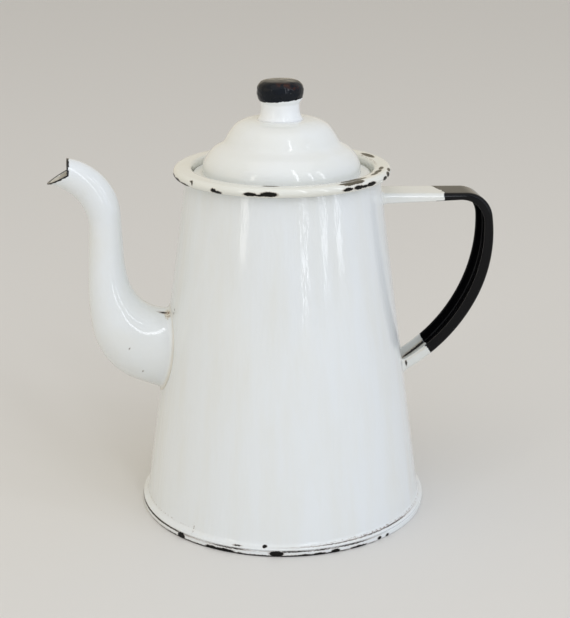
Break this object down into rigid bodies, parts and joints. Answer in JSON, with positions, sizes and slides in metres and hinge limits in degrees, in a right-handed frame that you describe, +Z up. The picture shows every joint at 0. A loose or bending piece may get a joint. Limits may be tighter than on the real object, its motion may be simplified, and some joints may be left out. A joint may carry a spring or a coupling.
{
  "type": "coffee pot",
  "caption": "Tapered enamelled steel coffee pot with a gooseneck spout, a pressed channel handle and a two-tier drop-in lid that lifts off.",
  "frame": {"origin": "centre of the standing ring of the bottom pan, on the surface that the pot stands on", "axes": "+Z up along the pot's axis, -X towards the spout, +X towards the handle"},
  "size_m": [0.2253, 0.15, 0.2228],
  "materials": {
    "white_enamel": "gloss vitreous enamel on steel, worn, with small chips",
    "cream_enamel": "gloss vitreous enamel on steel, chipped to dark steel",
    "black_enamel": "gloss black vitreous enamel on steel",
    "steel_wire": "plain drawn steel wire"
  },
  "bodies": {
    "pot": {"body_wall": "white_enamel", "bottom_pan": "white_enamel", "mouth_ring": "cream_enamel", "rim_wire": "steel_wire", "spout_near_half": "white_enamel", "spout_far_half": "white_enamel", "handle_strap": "black_enamel"},
    "lid": {"lid_dome": "white_enamel", "lid_skirt": "white_enamel", "lid_knob": "black_enamel"}
  },
  "joints": [
    {"name": "lid_lift", "type": "slide", "parent": "pot", "child": "lid", "axis": [0, 0, 1], "range_m": [0, 0.08]}
  ]
}
